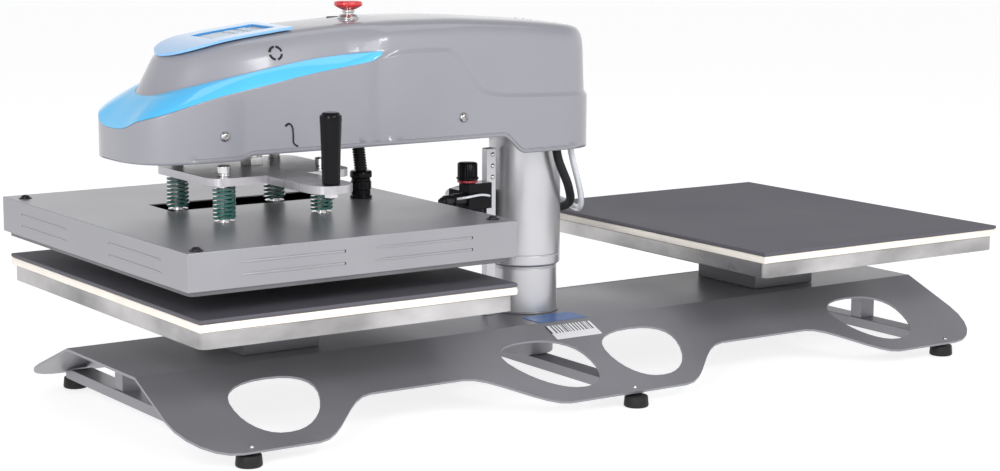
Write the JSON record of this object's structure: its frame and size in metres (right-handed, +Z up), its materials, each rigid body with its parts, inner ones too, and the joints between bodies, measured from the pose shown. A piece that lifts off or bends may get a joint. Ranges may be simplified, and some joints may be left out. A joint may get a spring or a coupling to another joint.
{
  "type": "heat press",
  "caption": "Pneumatic heat press whose heated platen hangs from a head that swings on a column between two padded work stations.",
  "frame": {"origin": "on the floor under the column, at the centre of the feet", "axes": "+X towards the right-hand station, +Y to the back, +Z up"},
  "size_m": [1.1798, 0.5, 0.4781],
  "materials": {
    "paint": "satin",
    "casing": "satin",
    "blue": "gloss",
    "steel": "polished",
    "alu": "machined",
    "bronze": "machined",
    "foam": "matte",
    "fabric": "matte",
    "rubber": "matte",
    "black": "satin",
    "green": "gloss",
    "red": "gloss",
    "screen": "satin",
    "clear": "gloss"
  },
  "bodies": {
    "base": {"base_frame": "paint", "cross_channel_left": "paint", "cross_channel_centre": "paint", "cross_channel_right": "paint", "foot_front_left": "rubber", "foot_front_centre": "rubber", "foot_front_right": "rubber", "foot_rear_left": "rubber", "foot_rear_centre": "rubber", "foot_rear_right": "rubber", "column_hub": "paint", "column_post": "paint", "thrust_washer": "bronze", "pad_support_left": "paint", "pad_support_right": "paint", "lower_platen_left": "alu", "lower_platen_right": "alu", "silicone_pad_left": "foam", "silicone_pad_right": "foam", "pad_cover_left": "fabric", "pad_cover_right": "fabric", "air_unit_bar": "paint", "valve_body": "black", "regulator_body": "black", "inlet_fitting": "steel"},
    "knob": {"regulator_knob": "black"},
    "head": {"swing_sleeve": "paint", "sleeve_bush": "bronze", "arm_beam": "paint", "head_casing": "casing", "blue_trim": "blue", "control_bezel": "blue", "display_panel": "screen", "cylinder_bottom_cap": "alu", "cylinder_barrel": "alu", "cylinder_top_cap": "alu", "stop_collar": "steel", "control_cable": "rubber", "air_hose": "clear"},
    "stop_plunger": {"stop_stem": "red"},
    "stop_head": {"stop_button": "red"},
    "carrier": {"piston": "alu", "piston_rod": "steel", "rod_nut": "steel", "carrier_plate": "alu", "handle_grip": "black"},
    "platen": {"heat_platen": "alu", "platen_cover": "paint", "conduit_gland": "black", "wire_conduit": "black", "spring_bolt_1": "steel", "spring_bolt_2": "steel", "spring_bolt_3": "steel", "spring_bolt_4": "steel", "spring_1": "green", "spring_2": "green", "spring_3": "green", "spring_4": "green"}
  },
  "joints": [
    {"name": "head_swing", "type": "hinge", "parent": "base", "child": "head", "pos_m": [0, 0, 0.2], "axis": [0, 0, 1], "range_deg": [0, 180], "deforming": ["control_cable", "air_hose"]},
    {"name": "press_stroke", "type": "slide", "parent": "head", "child": "carrier", "axis": [0, 0, -1], "range_m": [0, 0.0225], "stiffness_N_per_m": 4000, "springref_m": -0.08},
    {"name": "platen_float", "type": "slide", "parent": "carrier", "child": "platen", "axis": [0, 0, 1], "range_m": [0, 0.008], "stiffness_N_per_m": 8000, "springref_m": -0.01, "deforming": ["spring_1", "spring_2", "spring_3", "spring_4"]},
    {"name": "stop_press", "type": "slide", "parent": "head", "child": "stop_plunger", "axis": [0, 0, -1], "range_m": [0, 0.004], "stiffness_N_per_m": 600, "springref_m": -0.004},
    {"name": "stop_twist", "type": "hinge", "parent": "stop_plunger", "child": "stop_head", "pos_m": [-0.2555, 0, 0.4665], "axis": [0, 0, 1], "range_deg": [0, 45], "stiffness_Nm_per_rad": 0.05},
    {"name": "knob_turn", "type": "hinge", "parent": "base", "child": "knob", "pos_m": [-0.096, -0.0148, 0.2545], "axis": [0, 0, 1], "continuous": true}
  ]
}
